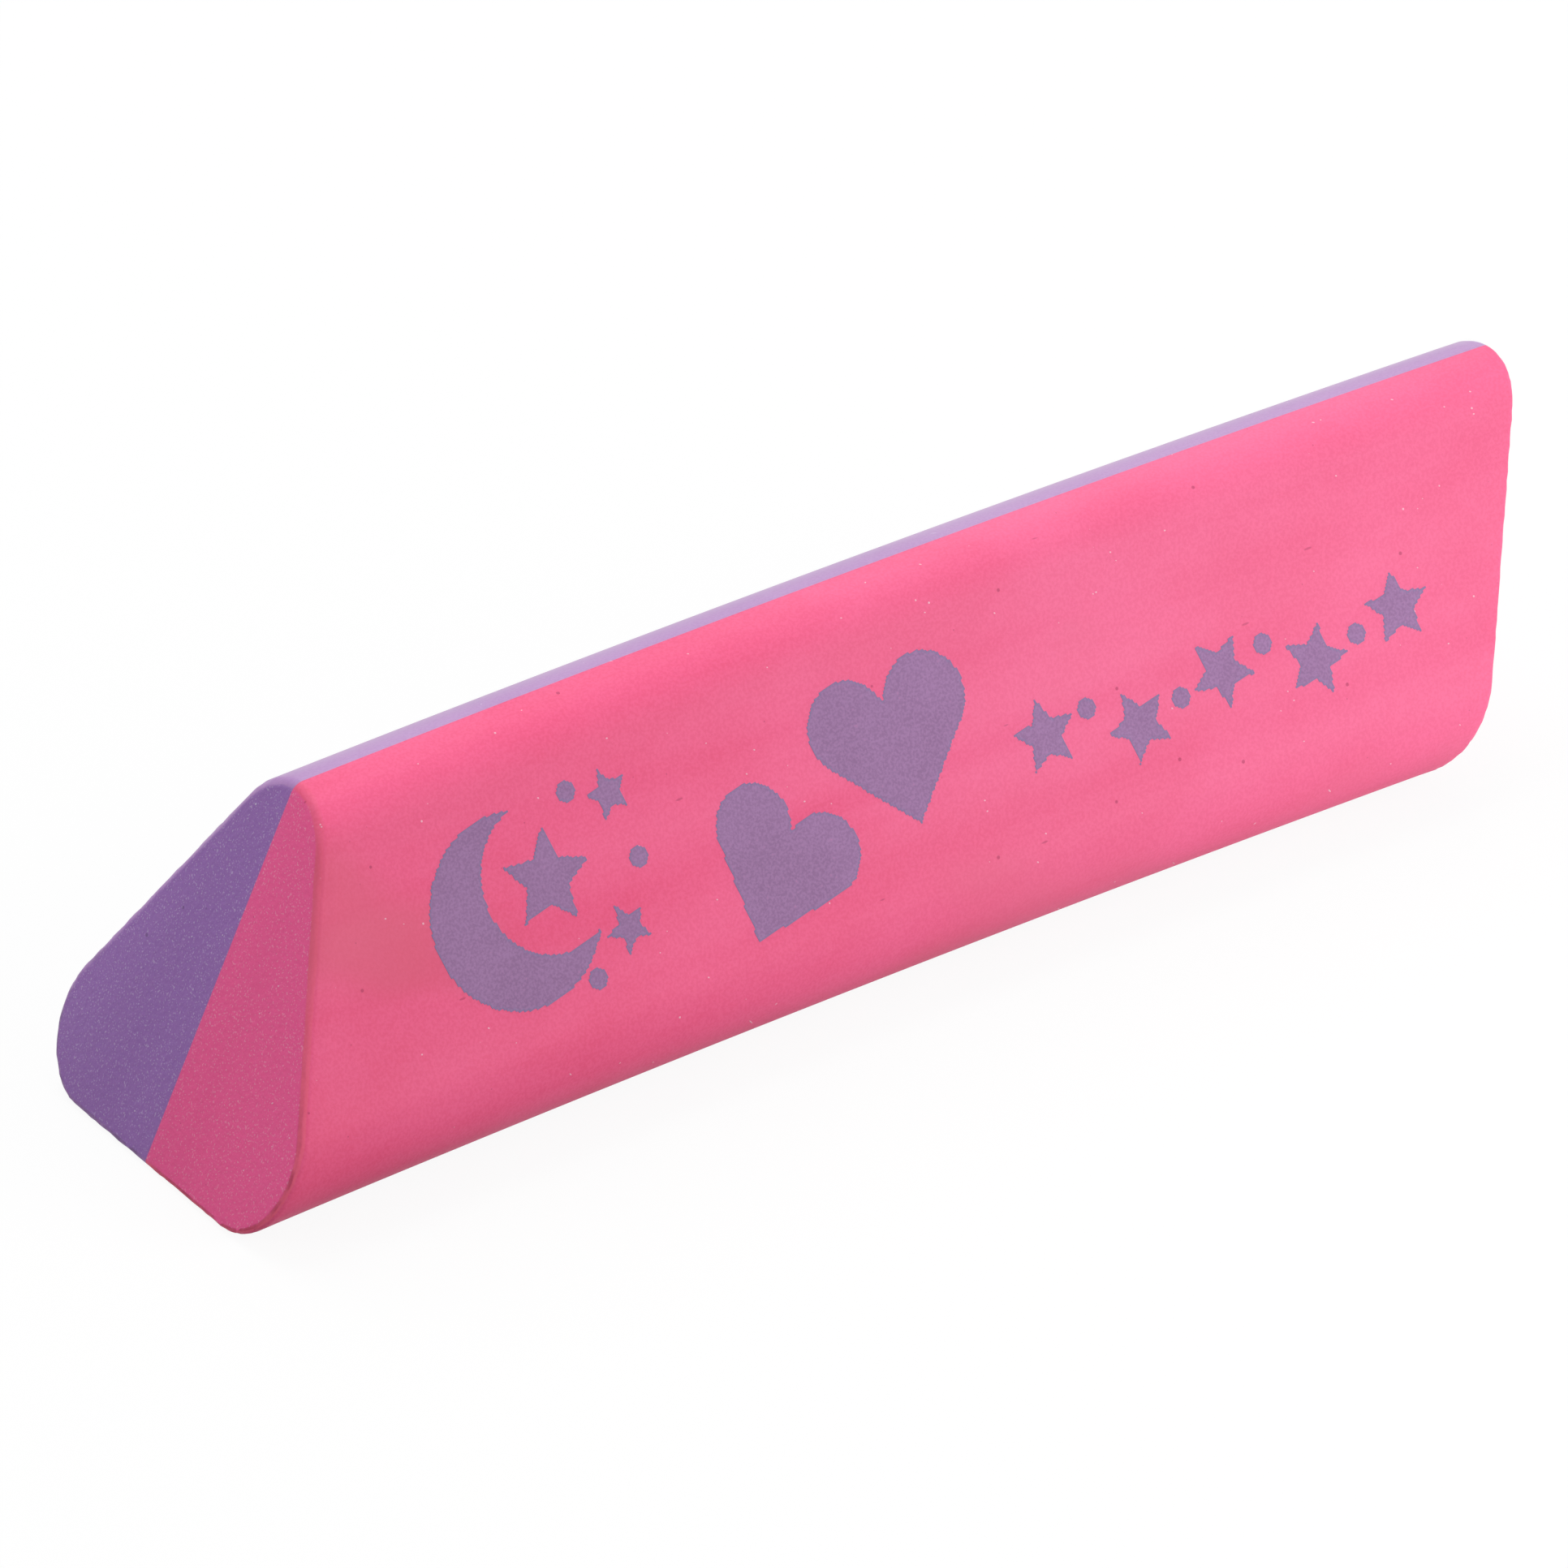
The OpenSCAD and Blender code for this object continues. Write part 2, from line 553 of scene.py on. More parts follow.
    def glints(self, sheet: NodeSheet, cut: Socket) -> Socket:
        """Scatter painted glints of light, fine bright specks, over the sawn ends.

        Args:
            sheet: The material's node tree.
            cut: 1 on the cuts and 0 elsewhere.

        Returns:
            How much of the painted glints shows.
        """
        bright = sheet.spread(sheet.noise(sheet.place, self.glint_scale, detail=0.0), self.glint_band)
        return sheet.math("MULTIPLY", bright, sheet.math("MULTIPLY", cut, self.cut_glint_share))

    def rim_grime_and_shade(self, sheet: NodeSheet, facing: Socket) -> Socket:
        """Darken the burr of the cuts in broken stretches, most near the base: grime, with painted shade
        in the crease between the rim and the sawn face.

        Args:
            sheet: The material's node tree.
            facing: How squarely the surface faces along the cuts.

        Returns:
            How much of the grime and painted shade shows.
        """
        burr = sheet.between(facing, self.burr_start, self.burr_stop)
        broken = sheet.spread(sheet.noise(sheet.place, self.rim_dark_scale), self.rim_dark_broken)
        share = sheet.math("ADD", sheet.spread(sheet.axis("Z"), self.rim_dark_low), self.rim_dark_least)
        return sheet.math("MULTIPLY", burr, sheet.math("MULTIPLY", broken, share))


@dataclass(frozen=True)
class InkFinish:
    """Thin screen-printed ink with the fine grain of the screen."""

    name: str
    colour: Colour
    thin: Colour
    edge: Colour
    vinyl: Colour
    roughness: float = 0.55
    gloss: float = 0.4
    cloud_scale: float = 300.0
    cloud_shade: Spread = Spread(0.3, 0.7, 0.3)
    mesh_pitch: float = 0.13 * MM
    mesh_shade: Spread = Spread(0.34, 0.66, 0.7)
    mesh_depth: float = 0.006 * MM
    pinholes: Spread = Spread(0.68, 0.78, 0.2)
    edge_share: float = 0.8

    def material(self) -> bpy.types.Material:
        """Build the material.

        Returns:
            The material.
        """
        sheet = NodeSheet(self.name)
        clouds = sheet.noise(sheet.place, self.cloud_scale)
        grain = sheet.noise(sheet.place, 1.0 / self.mesh_pitch, detail=2.0)
        shade = sheet.spread(clouds, self.cloud_shade)
        shade = sheet.math("ADD", shade, sheet.spread(grain, self.mesh_shade))
        colour = sheet.mix(shade, self.colour, self.thin)
        colour = sheet.mix(sheet.spread(grain, self.pinholes), colour, self.vinyl)
        border = sheet.tree.nodes.new("ShaderNodeAttribute")
        border.attribute_name = EDGE_LAYER
        colour = sheet.mix(sheet.math("MULTIPLY", border.outputs["Fac"], self.edge_share), colour, self.edge)
        sheet.link(colour, sheet.shader.inputs["Base Color"])
        sheet.shader.inputs["Roughness"].default_value = self.roughness
        sheet.shader.inputs["Specular IOR Level"].default_value = self.gloss
        sheet.bump([(grain, self.mesh_depth)])
        return sheet.material


PINK_VINYL = VinylFinish(
    name="pink_vinyl",
    colour=(0.98, 0.144, 0.312),
    deep=(0.89, 0.096, 0.228),
    cut_colour=(1.0, 0.14, 0.38),
    rim_colour=(1.0, 0.17, 0.26),
    smudge=(0.80, 0.13, 0.22),
    dust_and_glint=(1.0, 0.72, 0.82),
    grime_and_shade=(0.34, 0.015, 0.075),
    painted_haze=(0.95, 0.60, 0.90),
    painted_haze_share=0.06,
    cut_glint_share=0.26,
    sheen=0.0,
    gloss=0.22,
)
PURPLE_VINYL = VinylFinish(
    name="purple_vinyl",
    # Painted reflection: the purple skin's colour, deep and smudge are lighter than the sawn purple, for the
    # whitening at grazing angles along the ridge.
    colour=(0.53, 0.31, 0.60),
    deep=(0.46, 0.245, 0.54),
    cut_colour=(0.315, 0.145, 0.48),
    rim_colour=(0.33, 0.12, 0.48),
    smudge=(0.46, 0.265, 0.535),
    dust_and_glint=(0.80, 0.72, 0.88),
    grime_and_shade=(0.10, 0.05, 0.15),
    painted_haze=(0.80, 0.72, 0.88),
    painted_haze_share=0.03,
    cut_glint_share=0.30,
    sheen=0.45,
    gloss=0.28,
)
INK = InkFinish(
    name="print_ink",
    colour=(0.28, 0.13, 0.30),
    thin=(0.37, 0.185, 0.40),
    edge=(0.21, 0.175, 0.36),
    vinyl=(0.80, 0.17, 0.36),
)


# The eraser


@dataclass(frozen=True)
class BarForm:
    """The bar's driving sizes in metres, and what follows from them."""

    length: float = 70.0 * MM
    side: float = 24.7 * MM
    corner_r: float = 3.6 * MM
    slant: float = math.radians(27.0)
    bow: float = 0.6 * MM
    seam_offset: float = 0.25 * MM
    face_tilt: float = math.radians(60.0)

    @property
    def tip_height(self) -> float:
        """Height of the sharp triangle that the section is rounded from."""
        return self.side * math.sin(self.face_tilt)

    @property
    def height(self) -> float:
        """Height of the rounded bar."""
        return self.tip_height - self.corner_r

    @property
    def bow_r(self) -> float:
        """Radius of the bow."""
        return self.length**2 / (8.0 * self.bow) + self.bow / 2.0

    @property
    def overall(self) -> float:
        """Length from tip to tip, over both slanted ends."""
        return self.length + self.height * math.tan(self.slant)

    @property
    def seam_y(self) -> float:
        """Where the colour seam lies across the straight bar."""
        return self.bow / 2.0 + self.seam_offset

    @property
    def corner_centres(self) -> list[Point]:
        """Centres of the three rounded edges, across and up, at the middle of the bar."""
        flat_half = self.side / 2.0 - self.corner_r / math.tan(self.face_tilt / 2.0)
        return [
            (-flat_half, self.corner_r),
            (flat_half, self.corner_r),
            (0.0, self.tip_height - 2.0 * self.corner_r),
        ]

    @property
    def face_out(self) -> Vector:
        """Outward direction of the printed face at the middle of the bar."""
        return Vector((0.0, -math.sin(self.face_tilt), math.cos(self.face_tilt)))

    @property
    def face_mid(self) -> Vector:
        """Middle of the flat of the printed face."""
        low, _, high = self.corner_centres
        across = (low[0] + high[0]) / 2.0 + self.bow / 2.0
        up = (low[1] + high[1]) / 2.0
        return Vector((0.0, across, up)) + self.corner_r * self.face_out

    @property
    def cut_out(self) -> Vector:
        """Outward direction of the cut at the +X end."""
        return Vector((math.cos(self.slant), 0.0, -math.sin(self.slant)))

    def cut_point(self, end: int) -> Vector:
        """Middle of a cut end.

        Args:
            end: 1 for the +X end and -1 for the other.

        Returns:
            A point on the cut.
        """
        return Vector((end * self.length / 2.0, 0.0, self.height / 2.0))


def bow_points(piece: bpy.types.Object, form: BarForm, proud: float = 0.0) -> None:
    """Bow a straight piece sideways along the arc, with each point's place along the bar kept.

    Args:
        piece: The straight piece.
        form: The bar's sizes.
        proud: How far the piece is then lifted off the printed face.
    """
    lift = proud * form.face_out
    back = form.bow_r - form.bow / 2.0
    with editing(piece) as mesh:
        for vert in mesh.verts:
            out = vert.co.y + back
            vert.co.y = math.sqrt(out**2 - vert.co.x**2) - back
            vert.co += lift
        bmesh.update_edit_mesh(piece.data)


@dataclass
class EraserHalf:
    """One coloured strip of the bar.

    The moved part of a rim and the room kept from the seam are in rim radii, and an edge counts as
    long from a share of the bar's length.
    """

    half: Half
    finish: VinylFinish
    form: BarForm = field(default_factory=BarForm)
    corner_steps: int = 96
    sweep_steps: int = 70
    rim_r: float = 0.42 * MM
    rim_steps: int = 4
    rim_ragged: float = 0.02 * MM
    rim_seed: int = 3
    rim_moved: Point = (0.05, 0.95)
    seam_room: float = 2.0
    face_steps: int = 30
    flat_angle: float = math.radians(0.5)
    long_share: float = 0.9
    cut_facing: float = 0.999
    seam_facing: float = 0.99

    def rounded_prism(self) -> bpy.types.Object:
        """Hull three rods into a straight rounded prism, longer than the bar.

        Returns:
            The prism.
        """
        rods = []
        for across, up in self.form.corner_centres:
            deselect_all()
            bpy.ops.mesh.primitive_cylinder_add(
                vertices=self.corner_steps,
                radius=self.form.corner_r,
                depth=2.0 * self.form.overall,
                location=(0.0, across + self.form.bow / 2.0, up),
                rotation=(math.pi / 2.0, 0.0, math.pi / 2.0),
            )
            rods.append(bpy.context.object)
        piece = join(rods, f"{self.half.node}_skin")
        apply_place(piece)
        with editing(piece):
            bpy.ops.mesh.select_all(action="SELECT")
            bpy.ops.mesh.convex_hull(delete_unused=True, use_existing_faces=False)
            bpy.ops.mesh.select_all(action="SELECT")
            bpy.ops.mesh.dissolve_limited(angle_limit=self.flat_angle)
            pick(piece, "EDGE", self.is_wide)
            bpy.ops.mesh.subdivide(number_cuts=self.face_steps)
        return piece

    def build(self) -> bpy.types.Object:
        """Split the prism along the seam, cut its ends on the slant, soften the rims and bow it.

        Returns:
            The strip.
        """
        piece = self.rounded_prism()
        with editing(piece):
            self.slice(
                Vector((0.0, self.form.seam_y, 0.0)),
                Vector((0.0, -float(self.half.value), 0.0)),
            )
            for end in (1, -1):
                self.slice(self.form.cut_point(end), end * self.form.cut_out)
            bpy.ops.mesh.select_all(action="SELECT")
            bpy.ops.mesh.normals_make_consistent(inside=False)
            self.soften_rims(piece)
        bow_points(piece, self.form)
        shade_smooth(piece)
        return piece

    def soften_rims(self, piece: bpy.types.Object) -> None:
        """Round the sawn rims, divide the strip along its length and make the rims uneven.

        Args:
            piece: The cut strip, in edit mode.
        """
        pick(piece, "EDGE", self.is_rim)
        bpy.ops.mesh.bevel(
            offset_type="OFFSET", offset=self.rim_r, segments=self.rim_steps, affect="EDGES"
        )
        pick(piece, "EDGE", self.is_long)
        bpy.ops.mesh.subdivide(number_cuts=self.sweep_steps)
        pick(piece, "VERT", self.is_rim_point)
        bpy.ops.transform.vertex_random(
            offset=self.rim_ragged, uniform=1.0, normal=0.0, seed=self.rim_seed
        )
        mesh = bmesh.from_edit_mesh(piece.data)
        for vert in mesh.verts:
            vert.co.z = min(max(vert.co.z, 0.0), self.form.height)
        bmesh.update_edit_mesh(piece.data)

    def slice(self, point: Vector, out: Vector) -> None:
        """Cut the whole strip by a plane, close the cut and drop what is outside it.

        Args:
            point: A point on the plane.
            out: The plane's outward direction.
        """
        bpy.ops.mesh.select_all(action="SELECT")
        bpy.ops.mesh.bisect(plane_co=point, plane_no=out, use_fill=True, clear_outer=True)

    def is_cut(self, face: bmesh.types.BMFace) -> bool:
        """Whether a face is one of the two cut ends."""
        return abs(face.normal.dot(self.form.cut_out)) > self.cut_facing

    def is_seam(self, face: bmesh.types.BMFace) -> bool:
        """Whether a face lies on the colour seam."""
        return face.normal.y * -self.half.value > self.seam_facing

    def is_wide(self, edge: bmesh.types.BMEdge) -> bool:
        """Whether an edge of the prism's ends runs across a flat side."""
        level = abs(edge.verts[0].co.x - edge.verts[1].co.x) < MM
        return level and edge.calc_length() > self.form.corner_r

    def is_long(self, edge: bmesh.types.BMEdge) -> bool:
        """Whether an edge runs from one end of the strip to the other."""
        return edge.calc_length() > self.long_share * self.form.length

    def is_rim_point(self, vert: bmesh.types.BMVert) -> bool:
        """Whether a vertex lies on a softened rim, clear of the seam."""
        if abs(vert.co.y - self.form.seam_y) < self.seam_room * self.rim_r:
            return False
        depths = [abs((vert.co - self.form.cut_point(end)).dot(self.form.cut_out)) for end in (1, -1)]
        least, most = self.rim_moved
        return least * self.rim_r < min(depths) < most * self.rim_r

    def is_rim(self, edge: bmesh.types.BMEdge) -> bool:
        """Whether an edge runs between a cut end and the strip's outer skin."""
        cuts = [self.is_cut(face) for face in edge.link_faces]
        seams = [self.is_seam(face) for face in edge.link_faces]
        return len(cuts) == 2 and cuts.count(True) == 1 and not any(seams)

    def dress(self, piece: bpy.types.Object) -> None:
        """Give the strip its vinyl and let it stand for its CAD node.

        Args:
            piece: The strip.
        """
        piece.data.materials.clear()
        piece.data.materials.append(self.finish.material(self.form.cut_out))
        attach(piece, ROOT_BODY)
        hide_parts(self.half.node)


@dataclass(frozen=True)
class Motif:
    """One printed motif, with its place on the face in metres from the face's middle."""

    shape: Shape
    at: Point
    size: float
    turn: float = 0.0


@dataclass
class PrintedMotifs:
    """The ink on the pink face.

    The steps are the stretches of the outlines' arcs. A motif's cell grid is grid_over times as wide
    as the motif reaches.
    """

    finish: InkFinish
    form: BarForm = field(default_factory=BarForm)
    tooth: float = 0.13 * MM
    tooth_turn: float = math.radians(12.0)
    grid_over: float = 1.5
    soften: float = 0.35
    proud: float = 0.012 * MM
    thickness: float = 0.03 * MM
    moon_at: Point = (-22.2 * MM, 0.2 * MM)
    moon_r: float = 4.7 * MM
    bite_r: float = 3.7 * MM
    bite_out: float = 2.5 * MM
    moon_turn: float = 24.0
    moon_steps: int = 120
    bite_steps: int = 90
    moon_star_r: float = 2.5 * MM
    small_star_r: float = 1.3 * MM
    star_tips: int = 5
    star_inner: float = 0.48
    row_at: Point = (8.2 * MM, -1.1 * MM)
    row_pitch: float = 5.2 * MM
    row_step: float = 1.1 * MM
    row_turn: float = 17.0
    row_stars: int = 5
    row_star_r: float = 1.9 * MM
    dot_r: float = 0.5 * MM
    dot_steps: int = 36
    dot_last: float = 350.0
    heart_lobe: float = 0.252
    heart_drop: float = 0.618
    heart_steps: int = 80

    def layout(self) -> list[Motif]:
        """List the motifs and their places.

        Returns:
            The motifs.
        """
        motifs = [
            Motif(Shape.HEART, (0.2 * MM, 1.0 * MM), 9.0 * MM, 1.4),
            Motif(Shape.HEART, (-7.9 * MM, -2.6 * MM), 8.2 * MM, -38.0),
            Motif(Shape.MOON, self.moon_at, self.moon_r, self.moon_turn),
        ]
        beside = [
            (Shape.STAR, (0.45, 0.19), self.moon_star_r, -12.0),
            (Shape.STAR, (1.4, 0.77), self.small_star_r, 10.0),
            (Shape.STAR, (1.19, -0.57), self.small_star_r, 20.0),
            (Shape.DOT, (0.94, 0.94), self.dot_r, 0.0),
            (Shape.DOT, (1.53, 0.06), self.dot_r, 0.0),
            (Shape.DOT, (0.68, -0.94), self.dot_r, 0.0),
        ]
        for shape, at, size, turn in beside:
            place = (self.moon_at[0] + self.moon_r * at[0], self.moon_at[1] + self.moon_r * at[1])
            motifs.append(Motif(shape, place, size, turn))
        for i in range(self.row_stars):
            along = self.row_at[0] + i * self.row_pitch
            place = (along, self.row_at[1] - i % 2 * self.row_step)
            motifs.append(Motif(Shape.STAR, place, self.row_star_r, self.row_turn * i))
            if i + 1 < self.row_stars:
                place = (along + self.row_pitch / 2.0, self.row_at[1] + (0.5 - i % 2) * self.row_step)
                motifs.append(Motif(Shape.DOT, place, self.dot_r))
        return motifs

    def outline(self, motif: Motif) -> list[Point]:
        """Walk round a motif of unit size.

        Args:
            motif: The motif.

        Returns:
            Its outline's points, anticlockwise.
        """
        if motif.shape is Shape.HEART:
            return self.heart_outline()
        if motif.shape is Shape.MOON:
            return self.moon_outline()
        if motif.shape is Shape.STAR:
            return self.star_outline()
        return arc((0.0, 0.0), 1.0, 0.0, self.dot_last, self.dot_steps)

    def star_outline(self) -> list[Point]:
        """Walk round a star of tip radius 1, from its top.

        Returns:
            The outline's points.
        """
        points = []
        for i in range(2 * self.star_tips):
            reach = 1.0 if i % 2 == 0 else self.star_inner
            turn = math.radians(90.0 + 180.0 * i / self.star_tips)
            points.append((reach * math.cos(turn), reach * math.sin(turn)))
        return points

    def heart_outline(self) -> list[Point]:
        """Walk round a heart of width 1, as two lobes with straight sides down to the tip.

        Returns:
            The outline's points.
        """
        lobe_x = 0.5 - self.heart_lobe
        lift = (self.heart_drop - self.heart_lobe) / 2.0
        turn = math.acos(self.heart_lobe / math.hypot(lobe_x, self.heart_drop))
        turn -= math.atan2(lobe_x, self.heart_drop) + math.pi / 2.0
        cleft_turn = math.acos(-lobe_x / self.heart_lobe)
        ends = (math.degrees(turn), math.degrees(cleft_turn))
        right = arc((lobe_x, lift), self.heart_lobe, *ends, self.heart_steps)
        left = [(-x, y) for x, y in reversed(right)][1:]
        return [(0.0, lift - self.heart_drop)] + right + left

    def moon_outline(self) -> list[Point]:
        """Walk round a crescent of outer radius 1, open towards +X.

        Returns:
            The outline's points.
        """
        bite_r = self.bite_r / self.moon_r
        out = self.bite_out / self.moon_r
        horn_x = (1.0 + out**2 - bite_r**2) / (2.0 * out)
        outer = math.degrees(math.acos(horn_x))
        inner = math.degrees(math.atan2(math.sqrt(1.0 - horn_x**2), horn_x - out))
        back = arc((0.0, 0.0), 1.0, outer, 360.0 - outer, self.moon_steps)
        return back + arc((out, 0.0), bite_r, 360.0 - inner, inner, self.bite_steps)[1:-1]

    def flat_motif(self, motif: Motif) -> bpy.types.Object:
        """Make one motif in the plane of the print, from the open cells of the printing screen.

        Args:
            motif: The motif.

        Returns:
            The flat motif.
        """
        turn = math.radians(motif.turn)
        outline = []
        for x, y in self.outline(motif):
            across = motif.at[0] + motif.size * (x * math.cos(turn) - y * math.sin(turn))
            up = motif.at[1] + motif.size * (x * math.sin(turn) + y * math.cos(turn))
            outline.append((across, up))
        reach = max(math.dist(motif.at, point) for point in outline)
        cells = 2 * math.ceil(self.grid_over * reach / self.tooth)
        deselect_all()
        bpy.ops.mesh.primitive_grid_add(
            x_subdivisions=cells,
            y_subdivisions=cells,
            size=cells * self.tooth,
            location=(*motif.at, 0.0),
            rotation=(0.0, 0.0, self.tooth_turn),
        )
        piece = bpy.context.object
        apply_place(piece)
        with editing(piece):
            pick(piece, "FACE", lambda face: not inside(face.calc_center_median(), outline))
            bpy.ops.mesh.delete(type="FACE")
            pick(piece, "VERT", lambda vert: vert.is_boundary)
            bpy.ops.mesh.vertices_smooth(factor=self.soften)
        return piece

    def build(self) -> bpy.types.Object:
        """Lay the motifs on the bowed face as a thin film with the fine stepped edge of a screen print.

        Returns:
            The print.
        """
        piece = join([self.flat_motif(motif) for motif in self.layout()], "print_film")
        layer = piece.data.attributes.new(EDGE_LAYER, "FLOAT", "POINT")
        with editing(piece) as mesh:
            mark = mesh.verts.layers.float[layer.name]
            for vert in mesh.verts:
                vert[mark] = 1.0 if vert.is_boundary else 0.0
            bmesh.update_edit_mesh(piece.data)
        piece.rotation_euler = (self.form.face_tilt, 0.0, 0.0)
        piece.location = self.form.face_mid
        apply_place(piece)
        bow_points(piece, self.form, self.proud)
        solid = piece.modifiers.new("film", "SOLIDIFY")
        solid.thickness = self.thickness
        solid.offset = -1.0
        activate(piece)
        bpy.ops.object.modifier_apply(modifier=solid.name)
        shade_smooth(piece)
        return piece

    def dress(self, piece: bpy.types.Object) -> None:
        """Give the film its ink and let it stand for the CAD print.

        Args:
            piece: The film.
        """
        piece.data.materials.clear()
        piece.data.materials.append(self.finish.material())
        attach(piece, ROOT_BODY)
        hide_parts("printed_motifs")


def arc(centre: Point, radius: float, start: float, end: float, steps: int) -> list[Point]:
    """Points along an arc.

    Args:
        centre: The arc's centre.
        radius: Its radius.
        start: Where it starts, in degrees from +X.
        end: Where it ends.
        steps: How many stretches it has.

    Returns:
        The points, both ends among them.
    """
    turns = [math.radians(start + (end - start) * i / steps) for i in range(steps + 1)]
    return [(centre[0] + radius * math.cos(turn), centre[1] + radius * math.sin(turn)) for turn in turns]


def inside(point: Vector, outline: list[Point]) -> bool:
    """Tell whether a point in the plane lies inside an outline.

    Args:
        point: The point.
        outline: The outline's corners in order.

    Returns:
        Whether it is inside.
    """
    crossings = 0
    for (x0, y0), (x1, y1) in zip(outline, outline[1:] + outline[:1]):
        if (y0 > point.y) != (y1 > point.y):
            crossings += point.x < x0 + (point.y - y0) * (x1 - x0) / (y1 - y0)
    return crossings % 2 == 1


# The studio


@dataclass(frozen=True)
class PhotoCamera:
    """The photograph's viewpoint, worked out from the bar's edges in it."""

    azimuth: float = math.radians(-35.519)
    elevation: float = math.radians(32.644)
    roll: float = math.radians(0.288)
    distance: float = 733.763 * MM
    aim_right: float = -2.959 * MM
    aim_up: float = 5.433 * MM
    model_shift: Point = (0.919 * MM, -0.3 * MM)
    focal_px: float = 18766.5
    frame_px: float = 1932.0
    sensor_mm: float = 36.0
    nearest: float = 0.05
    farthest: float = 20.0

    def build(self) -> None:
        """Add the camera and make it the scene's."""
        back = Vector((
            math.sin(self.azimuth) * math.cos(self.elevation),
            -math.cos(self.azimuth) * math.cos(self.elevation),
            math.sin(self.elevation),
        ))
        level = Vector((math.cos(self.azimuth), math.sin(self.azimuth), 0.0))
        rise = back.cross(level)
        right = math.cos(self.roll) * level + math.sin(self.roll) * rise
        up = math.cos(self.roll) * rise - math.sin(self.roll) * level
        place = self.aim_right * right + self.aim_up * up + self.distance * back
        place += Vector((*self.model_shift, 0.0))
        data = bpy.data.cameras.new("photo_camera")
        data.sensor_width = self.sensor_mm
        data.lens = self.focal_px / self.frame_px * self.sensor_mm
        data.clip_start = self.nearest
        data.clip_end = self.farthest
        camera = bpy.data.objects.new("photo_camera", data)
        camera.matrix_world = Matrix.Translation(place) @ Matrix((right, up, back)).transposed().to_4x4()
        bpy.context.collection.objects.link(camera)
        bpy.context.scene.camera = camera


@dataclass(frozen=True)
class SoftBox:
    """One soft square lamp, aimed at the bar."""

    name: str
    place: Triple
    size: float
    power: float

    def build(self) -> None:
        """Add the lamp."""
        data = bpy.data.lights.new(self.name, "AREA")
        data.shape = "SQUARE"
        data.size = self.size
        data.energy = self.power
        lamp = bpy.data.objects.new(self.name, data)
        lamp.location = self.place
        lamp.rotation_euler = Vector(self.place).to_track_quat("Z", "Y").to_euler()
        lamp.visible_camera = False
        bpy.context.collection.objects.link(lamp)


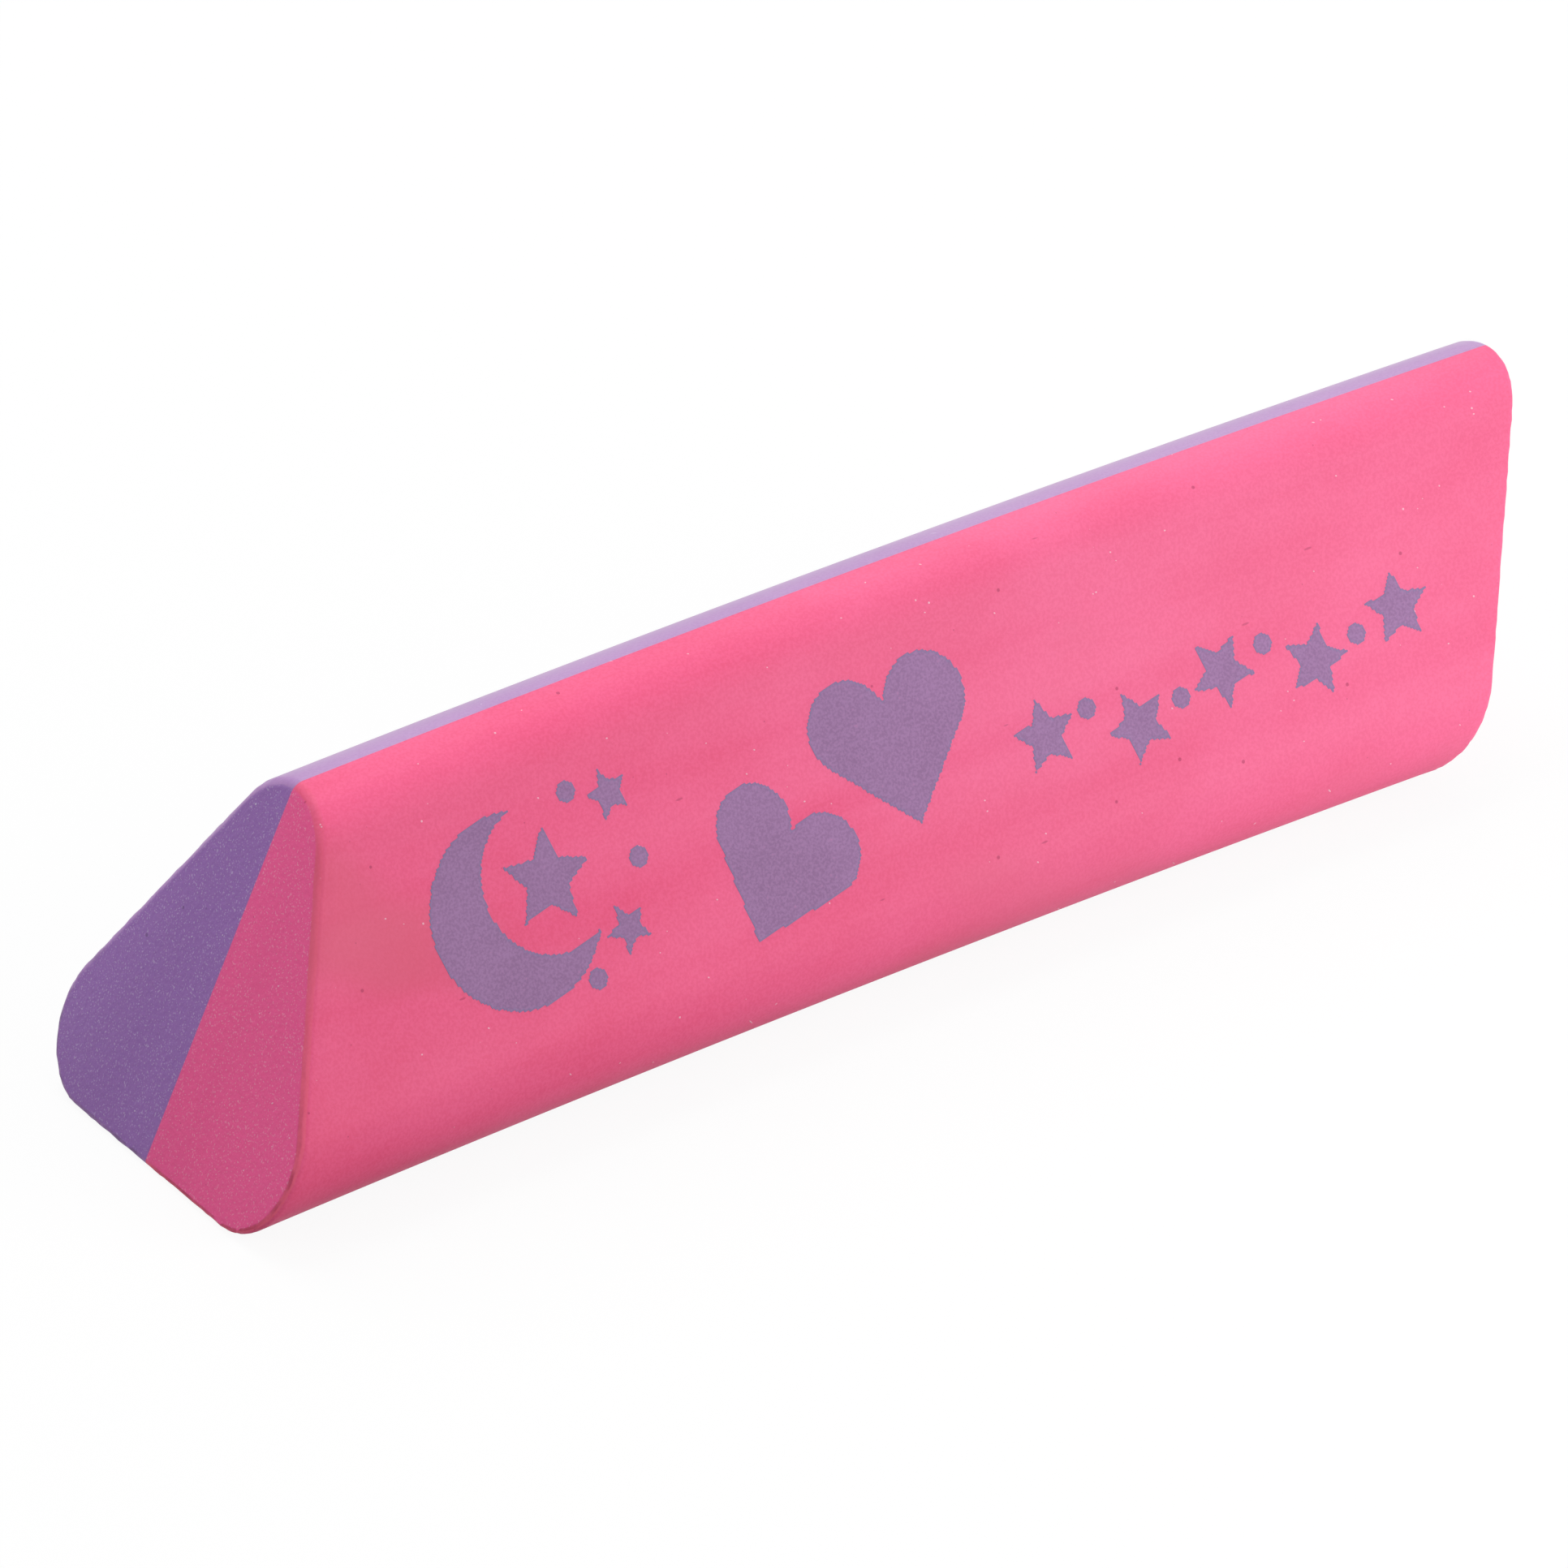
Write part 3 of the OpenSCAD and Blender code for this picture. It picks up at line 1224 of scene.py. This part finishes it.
@dataclass
class Studio:
    """Plain white floor and surroundings with soft light.

    The floor's bounce rises from its first value to its second, between two places along X.
    """

    floor_size: float = 6.0
    floor_gap: float = 0.05 * MM
    surround: float = 0.44
    floor_glow: float = 0.92
    page_white: float = 0.95
    bounce: Point = (0.28, 0.78)
    bounce_from: Point = (-32.0 * MM, 28.0 * MM)
    lamps: list[SoftBox] = field(default_factory=lambda: [
        SoftBox("key", (0.135, -0.185, 0.10), 0.17, 0.325),
        SoftBox("top", (0.12, 0.34, 0.52), 0.46, 2.35),
        SoftBox("end", (-0.40, 0.12, 0.21), 0.20, 0.24),
    ])

    def floor(self) -> None:
        """Add the floor just under the bar."""
        deselect_all()
        bpy.ops.mesh.primitive_plane_add(size=self.floor_size, location=(0.0, 0.0, -self.floor_gap))
        floor = bpy.context.object
        floor.name = "floor"
        apply_place(floor)
        floor.data.materials.append(self.floor_material())

    def floor_material(self) -> bpy.types.Material:
        """Build a white page to the camera, with the bar's shadow, that bounces most light at +X.

        Returns:
            The material.
        """
        material = bpy.data.materials.new("white_floor")
        material.use_nodes = True
        tree = material.node_tree
        tree.nodes.clear()
        output = tree.nodes.new("ShaderNodeOutputMaterial")
        path = tree.nodes.new("ShaderNodeLightPath")
        seen = tree.nodes.new("ShaderNodeMath")
        seen.operation = "MAXIMUM"
        tree.links.new(path.outputs["Is Camera Ray"], seen.inputs[0])
        tree.links.new(path.outputs["Is Glossy Ray"], seen.inputs[1])
        dull = tree.nodes.new("ShaderNodeBsdfDiffuse")
        place = tree.nodes.new("ShaderNodeTexCoord")
        along = tree.nodes.new("ShaderNodeSeparateXYZ")
        tree.links.new(place.outputs["Object"], along.inputs[0])
        bounce = tree.nodes.new("ShaderNodeMapRange")
        bounce.inputs["From Min"].default_value = self.bounce_from[0]
        bounce.inputs["From Max"].default_value = self.bounce_from[1]
        bounce.inputs["To Min"].default_value = self.bounce[0]
        bounce.inputs["To Max"].default_value = self.bounce[1]
        tree.links.new(along.outputs["X"], bounce.inputs["Value"])
        tree.links.new(bounce.outputs["Result"], dull.inputs["Color"])
        white = tree.nodes.new("ShaderNodeBsdfDiffuse")
        white.inputs["Color"].default_value = (*[self.page_white] * 3, 1.0)
        glow = tree.nodes.new("ShaderNodeEmission")
        page = tree.nodes.new("ShaderNodeMixShader")
        page.inputs[0].default_value = self.floor_glow
        tree.links.new(white.outputs[0], page.inputs[1])
        tree.links.new(glow.outputs[0], page.inputs[2])
        blend = tree.nodes.new("ShaderNodeMixShader")
        tree.links.new(seen.outputs[0], blend.inputs[0])
        tree.links.new(dull.outputs[0], blend.inputs[1])
        tree.links.new(page.outputs[0], blend.inputs[2])
        tree.links.new(blend.outputs[0], output.inputs["Surface"])
        return material

    def world(self) -> None:
        """Add white surroundings: plain white to the camera, softer as a light."""
        world = bpy.data.worlds.new("white_room")
        world.use_nodes = True
        tree = world.node_tree
        tree.nodes.clear()
        output = tree.nodes.new("ShaderNodeOutputWorld")
        seen = tree.nodes.new("ShaderNodeBackground")
        seen.inputs["Color"].default_value = WHITE
        light = tree.nodes.new("ShaderNodeBackground")
        light.inputs["Color"].default_value = WHITE
        light.inputs["Strength"].default_value = self.surround
        path = tree.nodes.new("ShaderNodeLightPath")
        blend = tree.nodes.new("ShaderNodeMixShader")
        tree.links.new(path.outputs["Is Camera Ray"], blend.inputs[0])
        tree.links.new(light.outputs[0], blend.inputs[1])
        tree.links.new(seen.outputs[0], blend.inputs[2])
        tree.links.new(blend.outputs[0], output.inputs["Surface"])
        bpy.context.scene.world = world

    def build(self) -> None:
        """Add the floor, the surroundings and the lamps."""
        self.floor()
        self.world()
        for lamp in self.lamps:
            lamp.build()
        bpy.context.scene.view_settings.view_transform = "Standard"


def report(piece: bpy.types.Object) -> None:
    """Log a finished piece's name and face count."""
    log.info("%s: %d faces", piece.name, len(piece.data.polygons))


def main() -> None:
    """Build the camera, the eraser and the studio in order."""
    logging.basicConfig(level=logging.INFO, format="%(message)s")
    PhotoCamera().build()
    for half, finish in ((Half.PINK, PINK_VINYL), (Half.PURPLE, PURPLE_VINYL)):
        strip = EraserHalf(half, finish)
        piece = strip.build()
        strip.dress(piece)
        report(piece)
    motifs = PrintedMotifs(INK)
    film = motifs.build()
    motifs.dress(film)
    report(film)
    Studio().build()


if __name__ == "__main__":
    main()
